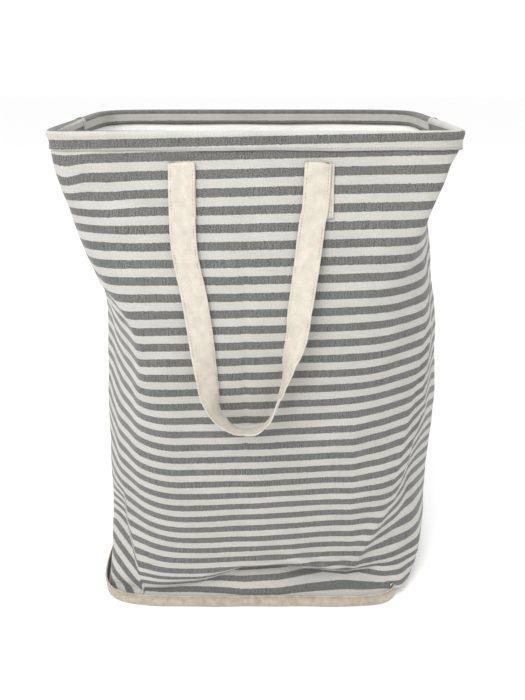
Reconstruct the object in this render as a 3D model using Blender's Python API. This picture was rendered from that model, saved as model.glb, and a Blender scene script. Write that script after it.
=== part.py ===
"""Free-standing collapsible canvas laundry hamper with a wired rim and two strap handles.

Frame: the hamper stands on z = 0, +Z is up, the front faces -Y, and x = 0 is the middle of the
rim. The cloth walls are lofted between plan outlines, each a superellipse with its own reach and
squareness on every side, so the rim and the base are boxy and the belly between them is rounder.
"""
import math

import bmesh
import bpy
import numpy as np
from mathutils import Vector

# ---- driving dimensions, metres ---------------------------------------------------------------
HEIGHT = 0.600            # floor to the top of the hem
CLOTH = 0.0012            # striped canvas
LINER = 0.0009            # coated lining cloth
GAP = 0.0004              # clearance kept between neighbouring pieces
LINER_GAP = 0.0008        # between the canvas and the lining, which slope with the belly
WIRE_RADIUS = 0.0020
FERRULE_WALL = 0.0007
FERRULE_LENGTH = 0.030
HEM_DEPTH = 0.0200        # hem casing, measured down from the top
WALL_TOP = HEIGHT - 0.0120
BINDING_HEIGHT = 0.0160
BINDING_CLOTH = 0.0014
SEAM_HALF_WIDTH = 0.0022
SEAM_PROUD = 0.0005
BOARD_THICKNESS = 0.0030
BOARD_CLEARANCE = 0.0025  # the loose insert is cut this much smaller than the walls round it
STRAP_WIDTH = 0.0270
STRAP_THICKNESS = 0.0024
TAB_TOP = HEIGHT - 0.0320
TAB_HEIGHT = 0.0520
TAB_CENTRES = (-0.0735, 0.0635)
TAB_GAP = 0.0008          # behind a tab, because the wall between two rows is flat
HEM_SHOULDER = 0.0060     # the hem's legs spread to its roll from this far below the wire
COLUMNS = 52              # stations round the whole outline
ROWS = 15                 # stations up a wall, below the hem
ROLL_STEPS = 7            # points round the top of the hem's roll
WIRE_SIDES = 8
FERRULE_SIDES = 12
STRAP_STATIONS = 41
CURVE_STEPS = 12          # points between two given ones on the strap's smooth centre line
TAB_STATIONS = 5

# Plan outline at a few heights: reach to the left, right, front and back of the origin, and the
# squareness (superellipse exponent) of the front left, front right and back corners.
OUTLINES = {
    0.000: (0.207, 0.188, 0.146, 0.140, 7.0, 9.0, 8.0),
    0.040: (0.208, 0.226, 0.137, 0.145, 6.0, 3.2, 4.6),
    0.090: (0.207, 0.233, 0.143, 0.150, 4.0, 2.4, 3.7),
    0.150: (0.205, 0.233, 0.154, 0.156, 2.8, 2.3, 3.5),
    0.220: (0.201, 0.232, 0.164, 0.162, 2.6, 2.2, 3.3),
    0.290: (0.197, 0.227, 0.171, 0.165, 2.6, 2.2, 3.3),
    0.360: (0.193, 0.218, 0.173, 0.165, 2.9, 2.5, 3.4),
    0.400: (0.193, 0.212, 0.172, 0.163, 3.1, 2.9, 3.6),
    0.440: (0.195, 0.205, 0.168, 0.160, 3.6, 3.6, 3.9),
    0.490: (0.201, 0.196, 0.160, 0.156, 5.5, 5.5, 4.4),
    0.540: (0.206, 0.199, 0.153, 0.151, 9.0, 9.5, 5.4),
    0.600: (0.211, 0.211, 0.147, 0.147, 15.0, 15.0, 7.5),
}


# ---- the outline ------------------------------------------------------------------------------
def outline_at(z):
    """The seven outline values at one height, by a smooth curve through the stated heights."""
    heights = sorted(OUTLINES)
    z = min(max(z, heights[0]), heights[-1])
    i = max(k for k in range(len(heights) - 1) if heights[k] <= z)
    p = [np.array(OUTLINES[heights[min(max(k, 0), len(heights) - 1)]]) for k in range(i - 1, i + 3)]
    t = (z - heights[i]) / (heights[i + 1] - heights[i])
    return 0.5 * (2 * p[1] + (p[2] - p[0]) * t + (2 * p[0] - 5 * p[1] + 4 * p[2] - p[3]) * t ** 2
                  + (3 * p[1] - p[0] - 3 * p[2] + p[3]) * t ** 3)


def outline_point(angle, z):
    """The point of the cloth's outer face at one angle round the hamper and one height."""
    left, right, front, back, square_left, square_right, square_back = outline_at(z)
    c, s = math.cos(angle), math.sin(angle)
    half_width = right if c >= 0 else left
    half_depth = back if s >= 0 else front
    square = square_back if s >= 0 else (square_right if c >= 0 else square_left)
    radius = (abs(c / half_width) ** square + abs(s / half_depth) ** square) ** (-1 / square)
    return np.array((radius * c, radius * s))


def outward(angle, z):
    """Unit normal of the plan outline."""
    step = 0.004
    along = outline_point(angle + step, z) - outline_point(angle - step, z)
    return np.array((along[1], -along[0])) / np.linalg.norm(along)


def face_point(angle, z, offset=0.0):
    """A point at the given distance outside the cloth's outer face."""
    x, y = outline_point(angle, z) + offset * outward(angle, z)
    return Vector((x, y, z))


def station_angles(start):
    """Angles that divide one half of the rim evenly between the two side seams."""
    fine = np.linspace(start, start + math.pi, 721)
    points = np.array([outline_point(a, HEIGHT) for a in fine])
    run = np.concatenate(([0.0], np.cumsum(np.linalg.norm(np.diff(points, axis=0), axis=1))))
    return list(np.interp(np.linspace(0.0, run[-1], COLUMNS // 2 + 1), run, fine))


def trimmed(angles, reach):
    """The same stations with the two ends drawn in by a distance along the outline."""
    first = angles[0] + reach / np.linalg.norm(outline_point(angles[0], HEIGHT))
    last = angles[-1] - reach / np.linalg.norm(outline_point(angles[-1], HEIGHT))
    return [first, *angles[1:-1], last]


# The cloth panels stop short of the side seams. Every other piece of wall, rim and base has a
# station at the same place too, so that the flat facets of neighbouring pieces stay parallel.
PANEL_BACK = trimmed(station_angles(0.0), SEAM_HALF_WIDTH + GAP)
PANEL_FRONT = trimmed(station_angles(math.pi), SEAM_HALF_WIDTH + GAP)
BACK_ANGLES = [0.0, *PANEL_BACK, math.pi]
FRONT_ANGLES = [math.pi, *PANEL_FRONT, 2 * math.pi]


# ---- making objects ---------------------------------------------------------------------------
def material(name, rgb, roughness=0.9, metallic=0.0):
    made = bpy.data.materials.get(name) or bpy.data.materials.new(name)
    made.use_nodes = True
    shader = made.node_tree.nodes["Principled BSDF"]
    shader.inputs["Base Color"].default_value = (*rgb, 1.0)
    shader.inputs["Roughness"].default_value = roughness
    shader.inputs["Metallic"].default_value = metallic
    return made


def striped_canvas():
    return material("striped_canvas", (0.42, 0.43, 0.43), 0.92)


def cream_canvas():
    return material("cream_canvas", (0.78, 0.73, 0.64), 0.9)


def white_liner():
    return material("white_liner", (0.85, 0.84, 0.81), 0.6)


def sprung_steel():
    return material("spring_steel", (0.55, 0.56, 0.57), 0.35, 1.0)


def grey_board():
    return material("grey_board", (0.32, 0.31, 0.29), 0.95)


def add_object(name, bm, skin, origin=None):
    """Put a finished mesh in the scene, with its origin where the piece turns if it does."""
    bmesh.ops.recalc_face_normals(bm, faces=bm.faces)
    if origin is not None:
        bmesh.ops.translate(bm, verts=bm.verts, vec=-origin)
    mesh = bpy.data.meshes.new(name)
    bm.to_mesh(mesh)
    bm.free()
    mesh.materials.append(skin)
    made = bpy.data.objects.new(name, mesh)
    bpy.context.collection.objects.link(made)
    if origin is not None:
        made.location = origin
    return made


def rings_to_body(rings, closed):
    """Join rings of points into a closed body: round in a loop, or capped at its two ends.

    Each four-sided cell is split along the diagonal that climbs from the first ring to the
    second, so that two layers of cloth lying face to face are split alike and never cross.
    """
    bm = bmesh.new()
    loops = [[bm.verts.new(point) for point in ring] for ring in rings]
    pairs = list(zip(loops, loops[1:]))
    if closed:
        pairs.append((loops[-1], loops[0]))
    else:
        bm.faces.new(loops[0])
        bm.faces.new(reversed(loops[-1]))
    for one, two in pairs:
        for i in range(len(one)):
            j = (i + 1) % len(one)
            if one[j].co.z >= one[i].co.z:
                bm.faces.new((one[i], two[i], two[j]))
                bm.faces.new((one[i], two[j], one[j]))
            else:
                bm.faces.new((one[i], two[i], one[j]))
                bm.faces.new((two[i], two[j], one[j]))
    return bm


def sweep_round(section, angles, closed=False):
    """Sweep a section of (offset, height) points along the outline."""
    return rings_to_body([[face_point(a, z, d) for d, z in section] for a in angles], closed)


def wall(name, angles, low, high, offset, thickness, skin):
    """A cloth wall between two heights: its outer face as a grid, thickened inwards."""
    levels = [low, *np.linspace(BINDING_HEIGHT, HEIGHT - HEM_DEPTH, ROWS), high]
    section = [(offset, z) for z in levels] + [(offset - thickness, z) for z in levels[::-1]]
    return add_object(name, sweep_round(section, angles), skin)


def plate(name, low, high, inset, z_outline, skin):
    """A flat sheet with the outline's shape, drawn in from the cloth's outer face."""
    angles = [*BACK_ANGLES[:-1], *FRONT_ANGLES[:-1]]
    bm = bmesh.new()
    corners = [face_point(a, z_outline, -inset) for a in angles]
    face = bm.faces.new([bm.verts.new((p.x, p.y, low)) for p in corners])
    raised = bmesh.ops.extrude_face_region(bm, geom=[face])["geom"]
    bmesh.ops.translate(bm, verts=[v for v in raised if isinstance(v, bmesh.types.BMVert)],
                        vec=(0, 0, high - low))
    return add_object(name, bm, skin)


# ---- base -------------------------------------------------------------------------------------
BOARD_BOTTOM = CLOTH + GAP
FLOOR_BOTTOM = BOARD_BOTTOM + BOARD_THICKNESS + GAP
LINER_OFFSET = -(CLOTH + LINER_GAP)


def make_base():
    plate("bottom_panel", 0.0, CLOTH, 0.0, 0.0, cream_canvas())
    plate("base_board", BOARD_BOTTOM, BOARD_BOTTOM + BOARD_THICKNESS, CLOTH + BOARD_CLEARANCE,
          FLOOR_BOTTOM, grey_board())
    plate("liner_floor", FLOOR_BOTTOM, FLOOR_BOTTOM + LINER, CLOTH + LINER + BOARD_CLEARANCE,
          FLOOR_BOTTOM + LINER, white_liner())
    inner, outer = GAP, GAP + BINDING_CLOTH
    section = [(outer, 0.0), (outer, BINDING_HEIGHT), (inner, BINDING_HEIGHT), (inner, 0.0)]
    section_rings = [*BACK_ANGLES[:-1], *FRONT_ANGLES[:-1]]
    add_object("bottom_binding", sweep_round(section, section_rings, closed=True), cream_canvas())


# ---- walls ------------------------------------------------------------------------------------
def make_walls():
    halves = (("front", FRONT_ANGLES, PANEL_FRONT), ("back", BACK_ANGLES, PANEL_BACK))
    for side, angles, panel_angles in halves:
        wall(side + "_panel", panel_angles, BOARD_BOTTOM, WALL_TOP, 0.0, CLOTH, striped_canvas())
        wall("liner_" + side, trimmed(angles, GAP), FLOOR_BOTTOM, WALL_TOP, LINER_OFFSET, LINER,
             white_liner())
    low = BINDING_HEIGHT + GAP
    high = HEIGHT - HEM_DEPTH - GAP
    for side, middle in (("right", 0.0), ("left", math.pi)):
        reach = SEAM_HALF_WIDTH / np.linalg.norm(outline_point(middle, HEIGHT))
        levels = [low, *np.linspace(BINDING_HEIGHT, HEIGHT - HEM_DEPTH, ROWS)[1:-1], high]
        section = [(SEAM_PROUD, z) for z in levels] + [(-CLOTH, z) for z in levels[::-1]]
        body = sweep_round(section, [middle - reach, middle, middle + reach])
        add_object(side + "_side_seam", body, striped_canvas())


# ---- rim --------------------------------------------------------------------------------------
HEM_CLOTH = 0.0011
HEM_BORE = WIRE_RADIUS + FERRULE_WALL + 2 * GAP
WIRE_OFFSET = -(CLOTH + LINER + LINER_GAP) / 2
WIRE_HEIGHT = HEIGHT - HEM_BORE - HEM_CLOTH


def hem_section():
    """Inverted U: two legs down either side of the wall and lining, and a roll over the wire."""
    bottom = HEIGHT - HEM_DEPTH
    shoulder = WIRE_HEIGHT - HEM_SHOULDER
    leg = {"outer": GAP, "inner": -(CLOTH + LINER_GAP + LINER + GAP)}
    turn = np.linspace(0.0, math.pi, ROLL_STEPS)
    roll = HEM_BORE + HEM_CLOTH
    outside = [(leg["outer"] + HEM_CLOTH, bottom), (leg["outer"] + HEM_CLOTH, shoulder)]
    outside += [(WIRE_OFFSET + roll * math.cos(a), WIRE_HEIGHT + roll * math.sin(a)) for a in turn]
    outside += [(leg["inner"] - HEM_CLOTH, shoulder), (leg["inner"] - HEM_CLOTH, bottom)]
    inside = [(leg["inner"], bottom), (leg["inner"], shoulder)]
    inside += [(WIRE_OFFSET + HEM_BORE * math.cos(a), WIRE_HEIGHT + HEM_BORE * math.sin(a))
               for a in turn[::-1]]
    inside += [(leg["outer"], shoulder), (leg["outer"], bottom)]
    return outside + inside


def make_rim():
    around = [*BACK_ANGLES[:-1], *FRONT_ANGLES[:-1]]
    turn = np.linspace(0.0, 2 * math.pi, WIRE_SIDES, endpoint=False)
    circle = [(WIRE_OFFSET + WIRE_RADIUS * math.cos(a), WIRE_HEIGHT + WIRE_RADIUS * math.sin(a))
              for a in turn]
    add_object("rim_wire", sweep_round(circle, around, closed=True), sprung_steel())
    for side, angles in (("front", FRONT_ANGLES), ("back", BACK_ANGLES)):
        body = sweep_round(hem_section(), trimmed(angles, GAP))
        add_object(side + "_hem", body, striped_canvas())
    make_ferrule()


def make_ferrule():
    """Sleeve that joins the wire's two ends, at the middle of the back."""
    bore = WIRE_RADIUS + GAP
    outside = bore + FERRULE_WALL
    middle = face_point(math.pi / 2, HEIGHT, WIRE_OFFSET)
    turn = np.linspace(0.0, 2 * math.pi, FERRULE_SIDES, endpoint=False)
    rings = []
    for end, radius in ((-1, bore), (-1, outside), (1, outside), (1, bore)):
        rings.append([(end * FERRULE_LENGTH / 2, middle.y + radius * math.cos(a),
                       WIRE_HEIGHT + radius * math.sin(a)) for a in turn])
    add_object("wire_ferrule", rings_to_body(rings, closed=True), sprung_steel())


# ---- handles ----------------------------------------------------------------------------------
# Centre line of a hanging strap seen from the front: x, and how far it hangs below its hinge.
STRAP_PATH = ((-0.0738, 0.0), (-0.0742, 0.045), (-0.0733, 0.081), (-0.0695, 0.105),
              (-0.0640, 0.135), (-0.0590, 0.166), (-0.0562, 0.192), (-0.0530, 0.218),
              (-0.0490, 0.240), (-0.0410, 0.260), (-0.0260, 0.277), (-0.0060, 0.284),
              (0.0100, 0.277), (0.0210, 0.262), (0.0290, 0.240), (0.0350, 0.218),
              (0.0400, 0.192), (0.0438, 0.164), (0.0490, 0.122), (0.0545, 0.079),
              (0.0600, 0.035), (0.0632, 0.0))
STRAP_STANDOFF = TAB_GAP + STRAP_THICKNESS + GAP    # from the cloth to the strap's back face
TWIST_START = 0.30                              # share of the way to the bottom of the loop


def cloth_reach(x, z, facing):
    """How far the front (1) or back (-1) of the cloth stands out; x runs to that side's right."""
    left, right, front, back, square_left, square_right, square_back = outline_at(z)
    if facing == -1:
        return back * (1 - abs(x / (left if x >= 0 else right)) ** square_back) ** (1 / square_back)
    half_width, square = (right, square_right) if x >= 0 else (left, square_left)
    return front * (1 - abs(x / half_width) ** square) ** (1 / square)


def smooth_path(points, count):
    """Evenly spread points on a smooth curve through the given ones."""
    fine = []
    for i in range(len(points) - 1):
        p = [np.array(points[min(max(k, 0), len(points) - 1)]) for k in range(i - 1, i + 3)]
        for t in np.linspace(0.0, 1.0, CURVE_STEPS, endpoint=False):
            fine.append(0.5 * (2 * p[1] + (p[2] - p[0]) * t
                               + (2 * p[0] - 5 * p[1] + 4 * p[2] - p[3]) * t ** 2
                               + (3 * p[1] - p[0] - 3 * p[2] + p[3]) * t ** 3))
    fine.append(np.array(points[-1]))
    fine = np.array(fine)
    run = np.concatenate(([0.0], np.cumsum(np.linalg.norm(np.diff(fine, axis=0), axis=1))))
    even = np.linspace(0.0, run[-1], count)
    return np.stack([np.interp(even, run, fine[:, axis]) for axis in range(2)], axis=1)


def strap_rings(facing):
    """Cross-sections of the strap: flat on the wall at the tabs, on edge round the loop's foot."""
    path = smooth_path(STRAP_PATH, STRAP_STATIONS)
    lowest = int(np.argmax(path[:, 1]))
    rings = []
    for i, (x, drop) in enumerate(path):
        share = i / lowest if i <= lowest else (len(path) - 1 - i) / (len(path) - 1 - lowest)
        turned = min(max((share - TWIST_START) / (1 - TWIST_START), 0.0), 1.0)
        twist = math.pi / 2 * turned * turned * (3 - 2 * turned)
        ahead, behind = path[min(i + 1, len(path) - 1)], path[max(i - 1, 0)]
        along = Vector((ahead[0] - behind[0], 0.0, behind[1] - ahead[1])).normalized()
        if i in (0, len(path) - 1):
            along = Vector((0.0, 0.0, -1.0 if i == 0 else 1.0))
        out = Vector((0.0, -1.0, 0.0))
        flat = along.cross(out)
        wide = flat * math.cos(twist) + out * math.sin(twist)
        thick = along.cross(wide)
        z = TAB_TOP - drop
        stand = STRAP_STANDOFF + STRAP_THICKNESS / 2
        stand += (STRAP_WIDTH - STRAP_THICKNESS) / 2 * math.sin(twist)
        centre = Vector((x, -cloth_reach(x, z, facing) - stand, z))
        ring = []
        for w, t in ((-1, -1), (1, -1), (1, 1), (-1, 1)):
            point = centre + wide * (w * STRAP_WIDTH / 2) + thick * (t * STRAP_THICKNESS / 2)
            ring.append(Vector((point.x * facing, point.y * facing, point.z)))
        rings.append(ring)
    return rings


def tab_rings(x, facing):
    """A sewn strap end, lying flat on the wall below the hinge line."""
    rings = []
    for z in np.linspace(TAB_TOP - TAB_HEIGHT, TAB_TOP - GAP, TAB_STATIONS):
        ring = []
        for side, lift in ((-1, 0), (1, 0), (1, 1), (-1, 1)):
            px = x + side * STRAP_WIDTH / 2
            py = -cloth_reach(px, z, facing) - TAB_GAP - lift * STRAP_THICKNESS
            ring.append(Vector((px * facing, py * facing, z)))
        rings.append(ring)
    return rings


def make_handles():
    for side, facing in (("front", 1), ("back", -1)):
        middle = sum(TAB_CENTRES) / 2
        hinge = Vector((middle * facing, 0.0, TAB_TOP))
        reach = cloth_reach(middle, TAB_TOP, facing)
        hinge.y = -facing * (reach + STRAP_STANDOFF + STRAP_THICKNESS / 2)
        add_object(side + "_handle_strap", rings_to_body(strap_rings(facing), closed=False),
                   cream_canvas(), hinge)
        for name, x in zip(("left", "right"), TAB_CENTRES):
            label = name if facing == 1 else {"left": "right", "right": "left"}[name]
            add_object(side + "_tab_" + label, rings_to_body(tab_rings(x, facing), closed=False),
                       cream_canvas())


def main():
    for old in list(bpy.data.objects):
        bpy.data.objects.remove(old, do_unlink=True)
    make_base()
    make_walls()
    make_rim()
    make_handles()


main()
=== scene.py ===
# %% [markdown]
# # A striped canvas laundry hamper
# The hamper is a tall cloth tub with a wire sewn into its rim, a white coated lining, a board in
# its floor and two cotton strap handles. It stands up by the stiffness of its coated cloth, so its
# walls bulge, lean and crease where they were folded flat for packing. This lesson dresses the
# packed working model: the frame says where every piece is, and each piece of cloth is remade here
# with its real folds, seams and threads.

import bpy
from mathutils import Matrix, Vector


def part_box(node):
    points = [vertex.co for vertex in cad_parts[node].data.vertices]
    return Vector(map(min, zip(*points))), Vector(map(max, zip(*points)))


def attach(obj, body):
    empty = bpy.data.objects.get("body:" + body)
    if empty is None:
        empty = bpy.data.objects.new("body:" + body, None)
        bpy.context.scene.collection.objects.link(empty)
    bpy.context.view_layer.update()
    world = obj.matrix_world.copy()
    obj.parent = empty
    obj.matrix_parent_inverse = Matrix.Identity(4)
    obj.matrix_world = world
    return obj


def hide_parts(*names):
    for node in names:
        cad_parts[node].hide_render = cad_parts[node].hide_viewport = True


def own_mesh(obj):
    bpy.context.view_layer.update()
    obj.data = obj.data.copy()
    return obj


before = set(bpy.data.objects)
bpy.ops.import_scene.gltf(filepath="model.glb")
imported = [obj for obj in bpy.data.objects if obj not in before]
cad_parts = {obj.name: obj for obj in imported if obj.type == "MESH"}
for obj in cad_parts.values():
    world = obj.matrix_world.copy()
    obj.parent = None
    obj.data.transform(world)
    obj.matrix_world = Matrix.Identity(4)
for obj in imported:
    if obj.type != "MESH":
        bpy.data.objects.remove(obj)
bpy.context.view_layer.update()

# %% The tools that the lesson uses
import math

import bmesh
import bpy
import numpy as np
from mathutils import Vector, noise

UP = Vector((0, 0, 1))
print("Blender", bpy.app.version_string)

# %% [markdown]
# ## Camera, floor and light
# The hamper is seen from the front and from a little above its rim, close enough that its foot
# looks narrower than its mouth. A pale floor runs into a white room. One large soft light stands
# in front, high and a little to the left, a weaker one hangs above, and the room fills the shadows.

# %% The camera
camera_data = bpy.data.cameras.new("camera")
camera_data.sensor_fit = "VERTICAL"
camera_data.sensor_height = 36.0
camera_data.sensor_width = 36.0
camera_data.lens = 36.0
camera = bpy.data.objects.new("camera", camera_data)
bpy.context.collection.objects.link(camera)
camera.location = (0.0069, -0.8649, 0.6683)
camera.rotation_euler = (math.radians(67.17), 0.0, 0.0)
bpy.context.scene.camera = camera
print("camera at", tuple(round(x, 3) for x in camera.location))


# %% Colours, and one way to add a node
def colour(code):
    """A linear colour from an sRGB hex code."""
    parts = [int(code[i:i + 2], 16) / 255 for i in (0, 2, 4)]
    return (*[c / 12.92 if c <= 0.04045 else ((c + 0.055) / 1.055) ** 2.4 for c in parts], 1.0)


def add(tree, kind, inputs=(), output=0, **settings):
    """Add one shader node with its settings and inputs, values or links, and return an output."""
    made = tree.nodes.new("ShaderNode" + kind)
    for name, value in settings.items():
        setattr(made, name, value)
    for socket, value in inputs.items() if isinstance(inputs, dict) else enumerate(inputs):
        if isinstance(value, bpy.types.NodeSocket):
            tree.links.new(value, made.inputs[socket])
        else:
            made.inputs[socket].default_value = value
    return made.outputs[output]


def start_material(name, roughness, **constants):
    """A new material, its tree and its shader, with the constants on the shader's own sockets."""
    made = bpy.data.materials.new(name)
    made.use_nodes = True
    shader = made.node_tree.nodes["Principled BSDF"]
    shader.inputs["Roughness"].default_value = roughness
    for socket, value in constants.items():
        shader.inputs[socket.replace("_", " ").title()].default_value = value
    return made, made.node_tree, shader


def to_piece(name, bm, skin):
    """Turn a bmesh into a smooth object of one material."""
    mesh = bpy.data.meshes.new(name)
    bm.to_mesh(mesh)
    bm.free()
    mesh.polygons.foreach_set("use_smooth", [True] * len(mesh.polygons))
    mesh.materials.append(skin)
    made = bpy.data.objects.new(name, mesh)
    bpy.context.collection.objects.link(made)
    return made


# %% The floor and the light
def make_stage():
    paint, _, shader = start_material("matt_white_paint", 0.95)
    shader.inputs["Base Color"].default_value = colour("fdfdfd")
    bm = bmesh.new()
    bmesh.ops.create_grid(bm, x_segments=1, y_segments=1, size=12.0)
    floor = to_piece("floor", bm, paint)
    floor.location = (0, 0, -0.0005)
    room = bpy.data.worlds.new("white_room")
    room.use_nodes = True
    room.node_tree.nodes["Background"].inputs["Color"].default_value = (1, 1, 1, 1)
    room.node_tree.nodes["Background"].inputs["Strength"].default_value = 1.0
    bpy.context.scene.world = room
    for name, place, size, power in (("key", (-0.6, -1.15, 1.75), 1.0, 24.0),
                                     ("top", (0.5, 0.4, 2.2), 1.4, 6.0)):
        lamp = bpy.data.lights.new(name, "AREA")
        lamp.shape = "SQUARE"
        lamp.size = size
        lamp.energy = power
        made = bpy.data.objects.new(name, lamp)
        made.location = place
        aim = Vector((0, 0, 0.3)) - Vector(place)
        made.rotation_euler = aim.to_track_quat("-Z", "Y").to_euler()
        bpy.context.collection.objects.link(made)
    bpy.context.scene.view_settings.view_transform = "Standard"


make_stage()
print("floor, room and two soft lights")

# %% [markdown]
# ## The shape of the walls
# Coated canvas bends but hardly stretches, so a standing hamper is made of nearly flat faces that
# meet in bends. Twelve bend lines climb from the floor to the rim: each is a list of (height, x,
# y, cut), where the cut says how far from the corner the bend starts to round it. Between two bend
# lines the cloth is straight. At the rim the shape is the wire's and at the foot the board's, and
# both come from the frame.

# %% The bend lines
BENDS = {
    "right_seam": ((.60, .211, .010, .05), (.54, .213, .010, .04), (.482, .2155, .010, .035),
        (.4595, .2192, .010, .035), (.412, .2265, .010, .035), (.377, .235, .010, .04),
        (.31, .244, .012, .05), (.23, .252, .015, .05), (.16, .254, .015, .05),
        (.09, .250, .012, .05), (.04, .238, .008, .05), (0, .190, 0, .04)),
    "back_right": ((.60, .211, .147, .055), (.50, .182, .150, .06), (.40, .180, .158, .07),
        (.25, .186, .155, .07), (.12, .184, .148, .06), (0, .186, .138, .045)),
    "back_middle": ((.60, 0, .147, .06), (.45, 0, .160, .06), (.30, 0, .167, .06),
        (.12, 0, .153, .06), (0, 0, .138, .06)),
    "back_left": ((.60, -.208, .147, .055), (.50, -.182, .150, .06), (.40, -.168, .158, .07),
        (.25, -.174, .155, .07), (.10, -.186, .146, .06), (0, -.205, .138, .045)),
    "left_seam": ((.60, -.211, .005, .05), (.50, -.211, .010, .05), (.44, -.208, .015, .05),
        (.37, -.204, .020, .05), (.30, -.207, .018, .05), (.20, -.211, .004, .04),
        (.10, -.208, -.004, .03), (.04, -.207, -.006, .03), (0, -.207, -.006, .03)),
    "left_corner": ((.60, -.211, -.050, .02), (.50, -.207, -.048, .02), (.45, -.196, -.047, .02),
        (.36, -.183, -.040, .02), (.25, -.191, -.042, .02), (.20, -.193, -.052, .02),
        (.15, -.1936, -.068, .02), (.10, -.1925, -.088, .015), (.05, -.1946, -.108, .012),
        (.02, -.1985, -.121, .010), (0, -.1990, -.122, .010)),
    "left_crease": ((.60, -.211, -.110, .02), (.55, -.206, -.115, .03), (.506, -.199, -.115, .03),
        (.47, -.191, -.110, .03), (.434, -.178, -.107, .03), (.40, -.165, -.099, .02),
        (.36, -.161, -.100, .03), (.30, -.165, -.096, .03), (.25, -.171, -.095, .02),
        (.20, -.171, -.101, .010), (.115, -.169, -.108, .004), (.06, -.158, -.127, .003),
        (.02, -.149, -.140, .003), (0, -.149, -.141, .003)),
    "front_left": ((.60, -.211, -.145, .010), (.55, -.200, -.149, .018), (.506, -.186, -.152, .02),
        (.47, -.170, -.157, .02), (.434, -.150, -.164, .015), (.40, -.130, -.171, .008),
        (.36, -.126, -.172, .006), (.30, -.127, -.173, .028), (.22, -.128, -.167, .050),
        (.15, -.122, -.158, .050), (.10, -.118, -.151, .045), (.05, -.120, -.145, .04),
        (.02, -.125, -.144, .02), (0, -.125, -.146, .02)),
    "front_middle": ((.60, -.02, -.145, .06), (.50, -.03, -.161, .06), (.40, -.03, -.174, .06),
        (.30, -.03, -.173, .06), (.20, -.03, -.163, .06), (.12, -.02, -.149, .06),
        (.045, -.02, -.140, .05), (.018, -.02, -.146, .05), (0, -.02, -.146, .05)),
    "front_right": ((.60, .203, -.145, .006), (.55, .190, -.150, .015), (.50, .170, -.158, .03),
        (.45, .150, -.163, .04), (.38, .135, -.163, .045), (.30, .125, -.160, .05),
        (.20, .140, -.146, .04), (.13, .158, -.131, .010), (.097, .145, -.131, .008),
        (.0515, .127, -.125, .008), (.028, .123, -.127, .012), (.014, .123, -.142, .02),
        (0, .125, -.146, .03)),
    "right_corner": ((.60, .207, -.141, .006), (.50, .178, -.134, .02), (.43, .172, -.140, .02),
        (.357, .174, -.133, .006), (.273, .184, -.121, .004), (.20, .176, -.127, .004),
        (.162, .169, -.128, .005), (.112, .178, -.112, .015), (.077, .180, -.110, .02),
        (.055, .185, -.116, .02), (.035, .191, -.130, .012), (.018, .188, -.131, .012),
        (0, .175, -.138, .02)),
    "right_front": ((.60, .211, -.137, .006), (.565, .1970, -.128, .012),
        (.538, .1935, -.119, .014), (.516, .1838, -.113, .014), (.495, .1845, -.112, .02),
        (.43, .191, -.118, .03), (.36, .203, -.112, .05), (.29, .205, -.106, .05),
        (.22, .203, -.098, .045), (.16, .196, -.093, .03), (.112, .205, -.088, .02),
        (.077, .216, -.086, .02), (.041, .2180, -.093, .014), (.030, .208, -.107, .012),
        (.018, .196, -.122, .012), (0, .186, -.125, .020)),
}
ROUND = list(BENDS)
FRONT = ["left_seam", "left_corner", "left_crease", "front_left", "front_middle", "front_right",
         "right_corner", "right_front", "right_seam"]
BACK = ["right_seam", "back_right", "back_middle", "back_left", "left_seam"]


def bend_at(name, z):
    """(x, y, cut) of one bend line at one height, on a smooth curve through its points."""
    line = np.array(sorted(BENDS[name]))
    heights, values = line[:, 0], line[:, 1:]
    slope = np.gradient(values, heights, axis=0)
    z = min(max(z, heights[0]), heights[-1])
    i = min(max(int(np.searchsorted(heights, z, side="right")) - 1, 0), len(heights) - 2)
    h = heights[i + 1] - heights[i]
    t = (z - heights[i]) / h
    return ((2 * t ** 3 - 3 * t ** 2 + 1) * values[i] + (t ** 3 - 2 * t ** 2 + t) * h * slope[i]
            + (3 * t ** 2 - 2 * t ** 3) * values[i + 1] + (t ** 3 - t ** 2) * h * slope[i + 1])


print(len(BENDS), "bend lines,", sum(len(line) for line in BENDS.values()), "points")

# %% The outlines at the rim and at the foot
WIRE_INSET = -0.00055            # from the wire's outside to the outside of the canvas
RIM_SQUARENESS = (15.0, 15.0, 7.5)
FOOT_SQUARENESS = (7.0, 9.0, 8.0)


def rounded_box(corners, grow, squareness, angle):
    """A point of a rounded oblong at a polar angle; its corners are front left, right and back."""
    low, high = corners
    c, s = np.cos(angle), np.sin(angle)
    half_width = np.where(c >= 0, high.x, -low.x) + grow
    half_depth = np.where(s >= 0, high.y, -low.y) + grow
    left, right, back = squareness
    n = np.where(s >= 0, back, np.where(c >= 0, right, left))
    reach = (np.abs(c / half_width) ** n + np.abs(s / half_depth) ** n) ** (-1 / n)
    return np.stack([reach * c, reach * s], axis=-1)


def run_along(points):
    """How far along a polyline each of its points is."""
    return np.concatenate([[0], np.cumsum(np.linalg.norm(np.diff(points, axis=0), axis=1))])


def ease(x, low, high):
    """0 below low, 1 above high and smooth between."""
    t = np.clip((np.asarray(x, float) - low) / (high - low), 0, 1)
    return t * t * (3 - 2 * t)


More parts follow.
